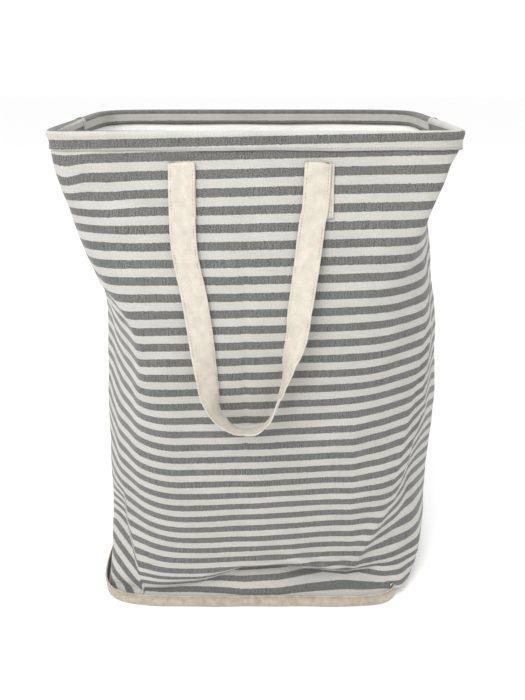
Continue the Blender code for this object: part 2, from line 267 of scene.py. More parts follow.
def toward_frame(points, z):
    """Lead an outline to the wire's shape near the rim and to the board's shape near the floor."""
    angle = np.arctan2(points[..., 1], points[..., 0])
    rim = rounded_box(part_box("rim_wire"), WIRE_INSET, RIM_SQUARENESS, angle)
    foot = rounded_box(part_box("bottom_panel"), 0.0, FOOT_SQUARENESS, angle)
    inside = np.linalg.norm(points, axis=-1) < np.linalg.norm(foot, axis=-1)
    inside = inside[..., None]
    held = 1 - ease(z, np.where(inside, 0.005, 0.0180), np.where(inside, 0.017, 0.028))
    late = 0.020 * ease(points[..., :1], 0.10, 0.17) * ease(-points[..., 1:], 0.0, 0.08)
    to_rim, to_foot = ease(z, 0.535 + late, 0.585 + 0.2 * late), held
    return points * (1 - to_rim - to_foot) + rim * to_rim + foot * to_foot


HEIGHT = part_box("front_hem")[1].z
print("rim", round(HEIGHT, 3), "m above the floor")

# %% [markdown]
# ## A wall as a grid of threads
# The cloth is a grid whose columns follow the bend lines, so that a crease lies along one column
# and stays crisp. Every grid point also keeps its place on the flat cloth: how far round it is and
# how far up. Those two numbers are the cloth's UV map, in metres, and the stripes and the weave are
# drawn with them, so they follow every fold.


# %% One level of the wall
def level(names, z, counts):
    """Points along one panel at one height, evenly spread between each pair of bend lines."""
    corner = {name: bend_at(name, z) for name in ROUND}
    rounded = {}
    for i, name in enumerate(ROUND):
        here = corner[name][:2]
        arms = []
        for other in (ROUND[i - 1], ROUND[(i + 1) % len(ROUND)]):
            arm = corner[other][:2] - here
            length = np.linalg.norm(arm)
            arms.append(here + arm / length * min(corner[name][2], 0.48 * length))
        t = np.linspace(0, 1, 17)[:, None]
        rounded[name] = (1 - t) ** 2 * arms[0] + 2 * t * (1 - t) * here + t * t * arms[1]
    points = []
    for first, second, count in zip(names, names[1:], counts):
        path = np.vstack([rounded[first][8:], rounded[second][:9]])
        run = run_along(path)
        even = np.linspace(0, run[-1], count + 1)[:-1]
        points.append(np.stack([np.interp(even, run, path[:, k]) for k in (0, 1)], axis=1))
    points.append(rounded[names[-1]][8:9])
    return toward_frame(np.vstack(points), z)


def spread(names, spacing):
    """How many columns each stretch between bend lines gets."""
    middle = [bend_at(name, 0.3)[:2] for name in names]
    return [max(4, round(float(np.linalg.norm(b - a)) / spacing))
            for a, b in zip(middle, middle[1:])]


def outward(points):
    """The outward normals of a wall's grid of points."""
    normal = np.cross(np.gradient(points, axis=1), np.gradient(points, axis=0))
    return normal / np.linalg.norm(normal, axis=2, keepdims=True)


def lay_wall(names, heights, spacing):
    """Grid of points [row, column, xyz], the cloth's run along each row, and outward normals."""
    counts = spread(names, spacing)
    rows = np.array([level(names, z, counts) for z in heights])
    grid = np.concatenate([rows, np.broadcast_to(np.array(heights)[:, None, None],
                                                 (*rows.shape[:2], 1))], axis=2)
    steps = np.linalg.norm(np.diff(rows, axis=1), axis=2)
    run = np.concatenate([np.zeros((len(heights), 1)), np.cumsum(steps, axis=1)], axis=1)
    middle = sum(counts[:[name.endswith("middle") for name in names].index(True)])
    run = run - run[:, middle:middle + 1]
    return grid, run, outward(grid)


probe = lay_wall(FRONT, np.linspace(0.0, 0.6, 13), 0.01)
print("front cloth at mid height", round(float(np.ptp(probe[1][6])), 3), "m round")


# %% From a grid to a mesh
def grid_mesh(name, points, across, up, skin):
    """A sheet from a grid of points, with its UV map in metres: across and up the flat cloth."""
    rows, columns = points.shape[:2]
    bm = bmesh.new()
    bmesh.ops.create_grid(bm, x_segments=columns - 1, y_segments=rows - 1, size=0.5)
    made = to_piece(name, bm, skin)
    mesh = made.data
    flat = np.zeros(len(mesh.vertices) * 3, np.float32)
    mesh.vertices.foreach_get("co", flat)
    flat = flat.reshape(-1, 3)
    column = np.rint((flat[:, 0] + 0.5) * (columns - 1)).astype(int)
    row = np.rint((flat[:, 1] + 0.5) * (rows - 1)).astype(int)
    mesh.vertices.foreach_set("co", points[row, column].astype(np.float32).ravel())
    corner = np.zeros(len(mesh.loops), np.int32)
    mesh.loops.foreach_get("vertex_index", corner)
    layer = mesh.uv_layers.new(name="cloth")
    place = np.stack([across[row, column], up[row, column]], axis=1)[corner]
    layer.data.foreach_set("uv", place.astype(np.float32).ravel())
    mesh.update()
    return made


def weld(piece, cap=False):
    """Merge the grid's meeting edges, close its ends if asked, and turn its faces outwards."""
    bm = bmesh.new()
    bm.from_mesh(piece.data)
    bmesh.ops.remove_doubles(bm, verts=bm.verts, dist=1e-6)
    if cap:
        bmesh.ops.holes_fill(bm, edges=[e for e in bm.edges if e.is_boundary], sides=0)
    bmesh.ops.recalc_face_normals(bm, faces=bm.faces)
    bm.to_mesh(piece.data)
    bm.free()


def thicken(piece, thickness):
    """Give a sheet its thickness, behind its face."""
    solid = piece.modifiers.new("thickness", "SOLIDIFY")
    solid.thickness = thickness
    solid.offset = -1
    solid.use_even_offset = False


# %% [markdown]
# ## The striped canvas
# The walls are a plain-woven cotton and linen canvas, dyed in the yarn: 9 mm of heathered grey
# threads, then 9 mm of ivory ones. Linen yarn is uneven, so thick places and dark flecks show, and
# the edge of a stripe steps from thread to thread. The real threads are about 0.5 mm apart, too
# fine to show from here, so the weave is drawn at 1 to 1.5 mm.

# %% Striped canvas material
MM = 0.001
STRIPE = 0.018                   # one grey and one ivory band
GREY_CENTRE = 0.001              # up the cloth, where a grey band is centred
THREAD_STEP = 0.35 * MM          # how far a stripe's edge strays from thread to thread


def cloth_noise(tree, width_mm, height_mm, detail=1.0, shift=0.0):
    """Uneven threads: noise whose grain is this many millimetres across and up the cloth's map."""
    place = add(tree, "Mapping", {"Vector": add(tree, "UVMap", uv_map="cloth"),
                                  "Location": (shift, shift, 0),
                                  "Scale": (1 / (width_mm * MM), 1 / (height_mm * MM), 1)})
    return add(tree, "TexNoise", {"Vector": place, "Scale": 1.0, "Detail": detail,
                                  "Roughness": 0.6}, "Fac", noise_dimensions="2D")


def thread_bump(tree, shader, coarse, depth_mm, strength):
    """Raised threads both ways, as a bump that is this many millimetres deep."""
    threads = (cloth_noise(tree, 0.9 * coarse, 7.0, 1.0, 3.0),
               cloth_noise(tree, 7.0, 0.9 * coarse, 1.0, 7.0))
    height = add(tree, "Math", threads, operation="ADD")
    bump = add(tree, "Bump", {"Height": height, "Distance": depth_mm * MM, "Strength": strength})
    tree.links.new(bump, shader.inputs["Normal"])


def striped_canvas():
    """Yarn-dyed plain weave: soft matt cloth with heathered grey bands and ivory bands."""
    made, tree, shader = start_material("yarn_dyed_linen_cotton_canvas", 0.92, sheen_weight=0.15)
    up = add(tree, "SeparateXYZ", [add(tree, "UVMap", uv_map="cloth")], "Y")
    step = add(tree, "MapRange", (cloth_noise(tree, 1.6, 9.0, 2.0), 0.3, 0.7, -THREAD_STEP,
                                  THREAD_STEP))
    phase = add(tree, "Math", (add(tree, "Math", (up, step), operation="ADD"), 1 / STRIPE),
                operation="MULTIPLY")
    phase = add(tree, "Math", (phase, 10.5 - GREY_CENTRE / STRIPE), operation="ADD")
    phase = add(tree, "Math", [phase], operation="FRACT")
    away = add(tree, "Math", (phase, 0.5), operation="SUBTRACT")
    away = add(tree, "Math", [away], operation="ABSOLUTE")
    is_grey = add(tree, "MapRange", (away, 0.262, 0.238), interpolation_type="SMOOTHSTEP")
    heather = add(tree, "MapRange", (cloth_noise(tree, 1.3, 1.0, 3.0, 11.0), 0.38, 0.62))
    warp = add(tree, "MapRange", (cloth_noise(tree, 1.1, 16.0, 1.0, 23.0), 0.3, 0.7, 0.0, 0.35))
    weft = add(tree, "MapRange", (cloth_noise(tree, 18.0, 1.0, 1.0, 31.0), 0.3, 0.7, 0.0, 0.30))
    bands = []
    for dark, light, thread, share in (("a7a6a1", "bebcb6", "a6a399", weft),
                                       ("2e2e2f", "71716f", "868682", warp)):
        yarn = add(tree, "Mix", {0: heather, 6: colour(dark), 7: colour(light)}, 2,
                   data_type="RGBA")
        bands.append(add(tree, "Mix", {0: share, 6: yarn, 7: colour(thread)}, 2,
                         data_type="RGBA"))
    canvas = add(tree, "Mix", {0: is_grey, 6: bands[0], 7: bands[1]}, 2, data_type="RGBA")
    fleck = add(tree, "MapRange", (cloth_noise(tree, 1.5, 1.1, 1.0, 47.0), 0.74, 0.80, 0.0, 0.75))
    share = add(tree, "Math", (is_grey, 0.15), operation="ADD")
    fleck = add(tree, "Math", (fleck, share), operation="MULTIPLY")
    canvas = add(tree, "Mix", {0: fleck, 6: canvas, 7: colour("222327")}, 2, data_type="RGBA")
    patch = add(tree, "MapRange", (cloth_noise(tree, 46.0, 38.0, 2.0, 5.0), 0.3, 0.7, 0.94, 1.03))
    patch = add(tree, "CombineColor", (patch, patch, patch))
    canvas = add(tree, "Mix", {0: 1.0, 6: canvas, 7: patch}, 2, data_type="RGBA",
                 blend_type="MULTIPLY")
    tree.links.new(canvas, shader.inputs["Base Color"])
    thread_bump(tree, shader, 1.3, 0.35, 0.55)
    return made


CANVAS = striped_canvas()
print(CANVAS.name, "one stripe repeat is", STRIPE, "m")

# %% [markdown]
# ## The canvas walls
# The front and back walls are each cut as one piece and sewn at the sides. Here each is a grid of
# threads every 3 mm. The wall runs from under the bottom binding to under the rim's hem.

# %% Folds and hollows
THREAD = 0.0032                  # spacing of the grid, finer than any fold that it carries
CANVAS_THICK = 0.0011


def fold_height(x):
    """The height of the long fold above the binding, where the front sags over its foot."""
    return np.interp(x, FOLD_X, (.018, .026, .043, .043, .030, .023, .040, .062))


def near(x, z, line):
    """The distance from a crease line of (x, z) points, in the face of the wall."""
    best = np.full(x.shape, 9.0)
    for (xa, za), (xb, zb) in zip(line, line[1:]):
        dx, dz = xb - xa, zb - za
        t = np.clip(((x - xa) * dx + (z - za) * dz) / (dx * dx + dz * dz), 0, 1)
        best = np.minimum(best, np.hypot(x - xa - t * dx, z - za - t * dz))
    return best


def tent(distance, width):
    """A crease's section: 1 on its line, falling to 0 at the width, with a sharp top."""
    return np.clip(1 - distance / width, 0, 1) ** 1.25


def front_relief(x, z, face):
    """Creases, the sagging fold above the foot and soft hollows of the front, in metres."""
    fold = z - fold_height(x)
    depth = np.interp(x, FOLD_X, (.004, .010, .018, .020, .018, .014, .010, .004)) * face
    out = -depth * np.where(fold < 0, tent(-fold, 0.030), tent(fold, 0.018))
    ripple = np.sin(2 * math.pi * (fold + 0.1 * x) / 0.0125)
    out += 0.0011 * ripple * np.exp(-((fold - .024) / .016) ** 2) * np.exp(-((x - .05) / .09) ** 4)
    for line, high, width in FRONT_CREASES:
        out += high * tent(near(x, z, line), width) * face
    return out


def back_relief(x, z, face):
    """The packing creases and the sag of the back."""
    out = sum(high * tent(near(x, z, line), width) for line, high, width in BACK_CREASES) * face
    return out - 0.006 * np.exp(-((z - 0.05 - 0.1 * x) / 0.016) ** 2) * face


def relief(side, grid, run, normal):
    """How far the cloth stands out from its smooth shape, in metres."""
    x, z = grid[..., 0], grid[..., 2]
    if side == "front":
        turn, out = 0.0, front_relief(x, z, ease(-grid[..., 1], .04, .09))
    else:
        turn, out = 2.0, back_relief(x, z, ease(np.abs(normal[..., 1]), 0.25, 0.75))
    soft = (np.sin(run * 23 + z * 11 + turn) * np.sin(z * 19 + 0.7 + turn)
            + 0.6 * np.sin(run * 47 - z * 31 + turn) * np.sin(z * 37 + run * 13)
            + 0.35 * np.sin(run * 91 + z * 57 + turn) * np.sin(z * 73 - run * 29))
    out = out + 0.0011 * soft
    return out * (1 - ease(z, 0.55, 0.582)) * ease(z, 0.008, 0.020)


FOLD_X = (-.150, -.080, -.020, .030, .090, .118, .160, .220)
FRONT_CREASES = (            # (x, z) line, height of the ridge, half width
    (((.158, .130), (.144, .097), (.127, .0515)), .0035, .012),
    (((.204, .377), (.196, .306), (.211, .258)), .0020, .006),
    (((.200, .247), (.172, .149)), .0025, .008),
    (((.190, .310), (.200, .200), (.196, .110)), -.0030, .016),
    (((.111, .279), (.116, .169), (.122, .060)), .0022, .022),
    (((-.0105, .470), (-.0108, .400), (-.0120, .250)), -.0016, .008),
    (((-.188, .568), (-.171, .546), (-.137, .530), (-.090, .522)), -.0035, .018),
    (((-.190, .540), (-.150, .500), (-.110, .488)), .0020, .016),
    (((-.176, .440), (-.160, .433)), .0018, .006),
    (((-.174, .418), (-.156, .414)), -.0020, .006),
    (((-.172, .404), (-.152, .396)), .0016, .006),
    (((.150, .440), (.185, .470)), -.0020, .012),
    (((.165, .400), (.205, .425)), .0018, .010),
)
BACK_CREASES = (
    (((.012, .540), (.010, .300), (.012, .080)), .0018, .008),
    (((-.130, .500), (-.090, .440), (-.020, .420)), -.0025, .018),
    (((.160, .470), (.100, .430), (.060, .440)), .0022, .016),
    (((-.150, .300), (-.130, .180), (-.150, .070)), .0030, .014),
    (((.150, .330), (.125, .200), (.140, .080)), .0030, .014),
)
RIGHT_CREASE = ((.03, .0515, .097, .13, .162, .273, .357, .42),
                (.123, .127, .144, .158, .168, .184, .190, .200))
LEFT_CREASE = np.array(sorted(BENDS["left_crease"]))[:, :2].T
STRETCH = ((0, .020, .0327, .050, .12, .20, .30, .40, .60),
           (-.0275, -.0191, -.0139, 0, 0, -.0015, -.0038, -.0048, -.0037))


SLACK = ((-.168, .553, .016, .020, .0050), (-.128, .533, .026, .022, .0030),
         (-.150, .500, .030, .030, -.0020))


SAG_DEPTH, SAG_MIDDLE, SAG_WIDE = 0.014, 0.197, 0.024


def sag(x, y, z):
    """How far the loose corner at the front right hangs down over the binding."""
    corner = np.exp(-((x - SAG_MIDDLE) / SAG_WIDE) ** 4) * ease(-y, 0.05, 0.09)
    return SAG_DEPTH * corner * ease(z, 0.0182, 0.027) * (1 - ease(z, 0.030, 0.065))


def pulled(x, y, z):
    """How far the stripes are pulled aslant beyond the right crease, where cloth is lost in it."""
    past = np.clip(x - np.interp(z, *RIGHT_CREASE), 0, 0.036) * (1 - ease(y, -0.085, 0.0))
    return past * np.interp(z, (.06, .12, .20, .30, .37, .45), (0, .40, .50, .65, .50, 0))


def cloth_height(side, points, run):
    """Up the flat cloth: it leans, was sewn in slightly aslant, and droops where it is slack."""
    x, y, z = (points[..., k] for k in range(3))
    slant = 0.022 * run * ease(z, 0.10, 0.55)
    if side == "back":
        return z * 1.0072 + slant
    up = z * 1.0072 + np.interp(z, *STRETCH) - slant
    for middle, level_z, wide, high, drop in SLACK:
        up = up + drop * np.exp(-((run - middle) / wide) ** 2 - ((z - level_z) / high) ** 2)
    beyond = np.maximum(0, np.interp(z, *LEFT_CREASE) - x)
    flat = 0.62 * (z - np.interp(z, (.02, .10, .16), (1.2, .8, .5)) * beyond) + 0.0075
    share = ease(beyond, 0.0, 0.003) * (1 - ease(z, 0.10, 0.16)) * (1 - ease(y, -0.10, -0.04))
    return up * (1 - share) + flat * share - pulled(x, y, z)


def wall_heights(low, high, spacing):
    """Levels of a wall's grid, closer together near the foot, where the folds are sharper."""
    change = 0.095
    return np.concatenate([np.arange(low, change, spacing * 0.62),
                           np.arange(change, high, spacing), [high]])


def make_wall(side, names, spacing):
    """One wall of canvas, with the grid of its outer face and its points' heights up the cloth."""
    grid, run, normal = lay_wall(names, wall_heights(WALL_LOW, WALL_HIGH, spacing), spacing)
    z = grid[..., 2]
    points = grid + normal * relief(side, grid, run, normal)[..., None]
    points[..., 2] = z - (sag(grid[..., 0], grid[..., 1], z) if side == "front" else 0)
    up = cloth_height(side, points, run)
    piece = grid_mesh(side + "_canvas", points, run, up, CANVAS)
    thicken(piece, CANVAS_THICK)
    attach(piece, "base")
    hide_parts(side + "_panel")
    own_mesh(piece)
    print(piece.name, points.shape[:2], "flat about", round(float(np.ptp(run[-1])), 3), "m wide")
    return piece, points, up


WALL_LOW = 0.006
WALL_HIGH = HEIGHT - 0.012
COLLAPSE = 0.5                   # COLLAPSE = 0.5 # the rim's drop, as listed in the squash settings
FOLD_FLOOR = 0.020               # FOLD_FLOOR = 0.020 # the squash settings' floor: the top of the stiff foot, not the ground
FOLDED_SHARE = 1 - COLLAPSE / (WALL_HIGH - FOLD_FLOOR)
WALL_SQUASH = dict(joint="rim_collapse", axis=(0, 0, 1), anchor=(0, 0, FOLD_FLOOR),
                   keep=FOLDED_SHARE)
HANDLE_SQUASH = {**WALL_SQUASH, "anchor": (0, 0, WALL_HIGH)}    # the same, seen from the rim
front_wall, front_points, front_up = make_wall("front", FRONT, THREAD)
back_wall, back_points, _ = make_wall("back", BACK, THREAD * 1.3)

# %% [markdown]
# ## The white lining
# The lining is a thin white cloth with a waterproof film on its inner face, so it is smoother and a
# little glossy, and it wrinkles more sharply than the canvas. It follows the canvas a millimetre
# behind, all the way down to a separate floor piece that lies over the board.

# %% Lining material
def coated_lining():
    """White polyester cloth under a thin clear film: a soft sheen, fine weave, faint creases."""
    made, tree, shader = start_material("film_coated_white_lining", 0.52, coat_weight=0.12,
                                        coat_roughness=0.4)
    tone = add(tree, "MapRange", (cloth_noise(tree, 60.0, 60.0, 3.0), 0.3, 0.7))
    threads = add(tree, "MapRange", (cloth_noise(tree, 1.0, 1.0, 1.0, 9.0), 0.3, 0.7))
    faint = add(tree, "Math", (threads, 0.25), operation="MULTIPLY")
    white = add(tree, "Mix", {0: tone, 6: colour("ecebe6"), 7: colour("f6f6f2")}, 2,
                data_type="RGBA")
    white = add(tree, "Mix", {0: faint, 6: white, 7: colour("d8d7d2")}, 2, data_type="RGBA")
    tree.links.new(white, shader.inputs["Base Color"])
    folded = add(tree, "Math", (cloth_noise(tree, 34.0, 22.0, 3.0, 4.0), 0.5), operation="SUBTRACT")
    folded = add(tree, "Math", [folded], operation="ABSOLUTE")
    height = add(tree, "Math", (threads, 0.05, folded), operation="MULTIPLY_ADD")
    bump = add(tree, "Bump", {"Height": height, "Distance": 4 * MM, "Strength": 0.5})
    tree.links.new(bump, shader.inputs["Normal"])
    return made


LINING = coated_lining()

# %% Lining walls
LINING_OFFSET = -(CANVAS_THICK + 0.0009)
LINING_THICK = 0.0007
FLOOR_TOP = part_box("liner_floor")[1].z


def lining_relief(run, z):
    """Small loose wrinkles of the lining, always inwards."""
    soft = np.sin(run * 61 + 1.3) * np.sin(z * 23 + run * 9) + np.sin(run * 27 - z * 38)
    return -0.0009 * (1 + 0.5 * soft) * ease(z, 0.02, 0.08) * (1 - ease(z, 0.54, 0.585))


def make_lining(side, names):
    heights = wall_heights(FLOOR_TOP - 0.0005, WALL_HIGH, 0.0045)
    grid, run, normal = lay_wall(names, heights, 0.0048)
    z = grid[..., 2]
    low = sag(grid[..., 0], grid[..., 1], z) * (side == "front")
    points = grid + normal * relief(side, grid, run, normal)[..., None]
    points[..., 2] = z - low
    slack = ease(low, 0.0, 0.003)[..., None]
    normal = outward(points) * (1 - slack) + normal * (1, 1, 0) * slack
    points = points + normal * (LINING_OFFSET + lining_relief(run, z) - 0.5 * low)[..., None]
    piece = grid_mesh(side + "_lining", points, run, z, LINING)
    thicken(piece, LINING_THICK)
    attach(piece, "base")
    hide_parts("liner_" + side)
    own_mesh(piece)
    return piece


front_lining = make_lining("front", FRONT)
back_lining = make_lining("back", BACK)
print("lining", len(front_lining.data.polygons), "faces at the front")


# %% Flat floor pieces
def floor_sheet(name, node, z, shrink, skin, waves, turned_up=0.0):
    """A cloth cut to the foot's outline, as a square grid led out to that outline."""
    side = 61
    u, v = np.meshgrid(np.linspace(-1, 1, side), np.linspace(-1, 1, side))
    low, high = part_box("bottom_panel")
    angle = np.arctan2(v * high.y, u * high.x)
    rim = rounded_box((low, high), -shrink, FOOT_SQUARENESS, angle)
    share = np.maximum(np.abs(u), np.abs(v))
    flat = rim * share[..., None]
    lift = waves * np.sin(flat[..., 0] * 41 + 1) * np.sin(flat[..., 1] * 33) * (1 - share ** 4)
    height = z + np.abs(lift) + turned_up * ease(share, 0.96, 1.0)
    points = np.concatenate([flat, height[..., None]], axis=2)
    piece = grid_mesh(name, points, flat[..., 0], flat[..., 1], skin)
    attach(piece, "base")
    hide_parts(node)
    return piece


floor_lining = floor_sheet("floor_lining", "liner_floor", FLOOR_TOP, 0.0035, LINING, 0.0012, 0.003)
thicken(floor_lining, LINING_THICK)
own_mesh(floor_lining)
print("floor lining over the board")

# %% [markdown]
# ## The cream canvas
# The straps and the bottom are undyed cotton canvas: a warm cream, plain weave, with a faint
# mottling where the cotton took up its size unevenly. The binding is a tape of the same cream
# cotton with painted shade: its colours are darker to stand for the shadow at the foot.

# %% Cream canvas and thread materials
def cream_canvas(name, dark, light, slub):
    """Undyed cotton canvas: warm cream, matt, with fine raised threads and soft mottling."""
    made, tree, shader = start_material(name, 0.9, sheen_weight=0.2)
    mottle = add(tree, "MapRange", (cloth_noise(tree, 9.0, 12.0, 3.0), 0.3, 0.7))
    threads = add(tree, "MapRange", (cloth_noise(tree, 0.9, 1.2, 2.0, 6.0), 0.3, 0.7, 0.0, 0.35))
    seed = add(tree, "MapRange", (cloth_noise(tree, 1.3, 1.8, 1.0, 40.0), 0.76, 0.82, 0.0, 0.5))
    cream = colour(dark)
    for share, shade in ((mottle, light), (threads, slub), (seed, "9c8f78")):
        cream = add(tree, "Mix", {0: share, 6: cream, 7: colour(shade)}, 2, data_type="RGBA")
    tree.links.new(cream, shader.inputs["Base Color"])
    thread_bump(tree, shader, 1.1, 0.3, 0.5)
    return made


def grained(name, roughness, scale, detail, low, dark, light, **constants):
    """A material whose colour runs between two shades with a fine grain on Object coordinates."""
    made, tree, shader = start_material(name, roughness, **constants)
    place = add(tree, "TexCoord", output="Object")
    grain = add(tree, "TexNoise", {"Vector": place, "Scale": scale, "Detail": detail}, "Fac")
    grain = add(tree, "MapRange", (grain, low, 1 - low))
    tree.links.new(add(tree, "Mix", {0: grain, 6: dark, 7: light}, 2, data_type="RGBA"),
                   shader.inputs["Base Color"])
    return made


def cotton_thread(name, code):
    """Waxed cotton sewing thread: slightly shiny, lighter and darker along its twist."""
    base = colour(code)
    dark = (*(0.72 * part for part in base[:3]), 1.0)
    return grained(name, 0.6, 900.0, 1.0, 0.35, dark, base)


CREAM = cream_canvas("undyed_cotton_canvas", "bab3a6", "c9c3b8", "a8a091")
# The binding's tape is the cream cotton with painted shade: darker colours for the shadow at the
# foot.
SHADED_TAPE = cream_canvas("cream_tape_painted_darker_as_shade", "a09686", "b9b0a2", "8a806f")
THREAD_CREAM = cotton_thread("waxed_cotton_thread", "b9ad95")
THREAD_GREY = cotton_thread("grey_cotton_thread", "a29c90")
print(CREAM.name, THREAD_CREAM.name)

# %% Steel and board
# Cold-drawn spring steel is grey metal with faint lines left along it by the die.
STEEL = grained("cold_drawn_spring_steel", 0.34, 450.0, 3.0, 0.3, colour("9a9c9e"),
                colour("c2c4c6"), metallic=1.0)
# Pressed grey fibreboard is matt and speckled with short pale fibres.
BOARD = grained("pressed_fibreboard", 0.95, 320.0, 4.0, 0.35, colour("6f6a62"), colour("968f84"))
for node, skin in (("rim_wire", STEEL), ("wire_ferrule", STEEL), ("base_board", BOARD)):
    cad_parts[node].data.materials.clear()
    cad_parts[node].data.materials.append(skin)

# %% The bottom
bottom = floor_sheet("bottom_canvas", "bottom_panel", 0.0012, 0.0, CREAM, 0.0)
thicken(bottom, 0.0011)


# %% [markdown]
# ## Stitches
# Every seam is held by a row of lockstitches about 3 mm long. Each stitch is a small rounded thread
# that dips into the cloth at both ends, so a row reads as separate dashes, as real stitching does.

# %% A row of stitches
STITCH = 0.0036                  # from one stitch to the next
STITCH_LENGTH = 0.0027
STITCH_RADIUS = 0.00034


def even_steps(points, step):
    """Points evenly spaced along a polyline, and the directions there."""
    points = np.asarray(points, float)
    run = run_along(points)
    count = max(2, round(run[-1] / step))
    at = (np.arange(count) + 0.5) / count * run[-1]
    place = np.stack([np.interp(at, run, points[:, k]) for k in range(3)], axis=1)
    ahead = np.stack([np.interp(at + 0.0005, run, points[:, k]) for k in range(3)], axis=1)
    behind = np.stack([np.interp(at - 0.0005, run, points[:, k]) for k in range(3)], axis=1)
    along = ahead - behind
    return place, along / np.linalg.norm(along, axis=1, keepdims=True)


def one_stitch(length):
    """A stitch as a stretched ball of 24 faces, lying along X."""
    bm = bmesh.new()
    bmesh.ops.create_uvsphere(bm, u_segments=6, v_segments=4, radius=STITCH_RADIUS)
    bmesh.ops.scale(bm, verts=bm.verts, vec=(length / 2 / STITCH_RADIUS, 1, 1))
    mesh = bpy.data.meshes.new("stitch")
    bm.to_mesh(mesh)
    bm.free()
    return mesh


def sew(name, rows, body, skin, squash=None, step=STITCH, length=STITCH_LENGTH):
    """Rows of stitches as one piece. Each row is a polyline that lies on the cloth's surface."""
    stitch = one_stitch(length)
    shape = np.array([v.co for v in stitch.vertices])
    bm = bmesh.new()
    for row in rows:
        for centre, along in zip(*even_steps(row, step)):
            turn = np.array(Vector(along).to_track_quat("X", "Z").to_matrix())
            stitch.vertices.foreach_set("co", (shape @ turn.T + centre).astype(np.float32).ravel())
            bm.from_mesh(stitch)
    piece = to_piece(name, bm, skin)
    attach(piece, body)
    if squash:
        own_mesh(piece)
    print(name, len(piece.data.polygons) // 24, "stitches")


# %% [markdown]
# ## The hem over the wire
# The top of the canvas is folded inwards over the wire and sewn down, which makes the round edge of
# the mouth. The hem is swept along the rim: up the outside, over the wire and down the inside.

# %% The hem
HEM_DROP = 0.0188
ROLL = 0.0047                    # from the wire's middle to the outside of the hem
WIRE_MIDDLE = -0.00145           # behind the canvas's outer face
HEM_OUT, HEM_IN = 0.0012, -0.0045
HEM_THICK = 0.0010
ROLL_HEIGHT = HEIGHT - ROLL


def hem_profile():
    """(offset, height) down the outside, over the roll and down the inside."""
    turn = np.linspace(0, math.pi, 13)
    legs = np.array([0.0, 0.004, 0.008]) + HEIGHT - HEM_DROP
    out = [(HEM_OUT + 0.0003 * (k == 0), z) for k, z in enumerate(legs)]
    roll = [(WIRE_MIDDLE + ROLL * math.cos(a), ROLL_HEIGHT + ROLL * math.sin(a)) for a in turn]
    inner = [(HEM_IN, z) for z in legs[::-1]]
    return np.array(out + roll + inner)


def rim_line(names, spacing=0.0035):
    """The canvas's outer face round one half of the rim, with its run and outward directions."""
    grid, run, normal = lay_wall(names, [HEIGHT - 0.002, HEIGHT - 0.001, HEIGHT], spacing)
    flat = normal[1] * (1, 1, 0)
    return grid[1], run[1], flat / np.linalg.norm(flat, axis=1, keepdims=True)


def make_hem(side, names, start=0, stop=None, extra=0.0, name=None):
    """One half of the hem. Extra lifts it, for the overlap at a side seam."""
    shift, slant = HEM_STRIPES[side]
    line, run, out = rim_line(names)
    line, run, out = line[start:stop], run[start:stop], out[start:stop]
    profile = hem_profile()
    length = run_along(profile)
    centre = np.array([WIRE_MIDDLE, ROLL_HEIGHT])
    rows = []
    for k, (d, z) in enumerate(profile):
        away = profile[k] - centre
        away = away / np.linalg.norm(away) * extra
        soft = 0.00035 * np.sin(run * 140 + 0.4 * k) + 0.0003 * np.sin(run * 57 + 1)
        hump = 0.0008 * np.exp(-(run / 0.013) ** 4) * (side == "back") * (2 < k < 16)
        ring = line + out * (d + away[0] + soft * (k < 3) + hump * np.sign(d))[:, None]
        ring[:, 2] = z + away[1] + (0.0004 * np.sin(run * 47) if k in (0, len(profile) - 1) else 0)
        rows.append(ring)
    points = np.array(rows)
    up = (HEIGHT - HEM_DROP + length + shift)[:, None] - slant * run
    piece = grid_mesh(name or side + "_rim_hem", points, np.broadcast_to(run, points.shape[:2]), up,
                      CANVAS)
    thicken(piece, HEM_THICK)
    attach(piece, "rim")
    return piece, points


HEM_STRIPES = {"front": (0.0045, 0.022), "back": (-0.0115, 0.0)}    # shift, and slant per metre
front_hem, front_hem_points = make_hem("front", FRONT)
back_hem, back_hem_points = make_hem("back", BACK)
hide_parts("front_hem")
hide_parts("back_hem")


def hem_rows(points):
    """Two stitch rows, one on the outside 2.5 mm above the edge, and its return on the inside."""
    outer = points[0] * 0.375 + points[1] * 0.625
    inner = points[-1] * 0.375 + points[-2] * 0.625
    return [outer, inner]


OVERLAP = 0.0007
overlaps = [make_hem("front", FRONT, 0, 4, OVERLAP, "left_rim_overlap")[0],
            make_hem("front", FRONT, -4, None, OVERLAP, "right_rim_overlap")[0]]
print(len(overlaps), "overlaps where the hems meet")

sew("hem_stitches", [row for points in (front_hem_points, back_hem_points)
                     for row in hem_rows(points)], "rim", THREAD_GREY)

# %% [markdown]
# ## Side seams and bottom binding
# At each side the two walls are sewn together in a flat felled seam, a low ridge from foot to rim.
# A cream tape is folded round the edge between the walls and the bottom.

# %% Side seams
SEAM_WIDE = 0.0070
SEAM_HIGH = 0.0011


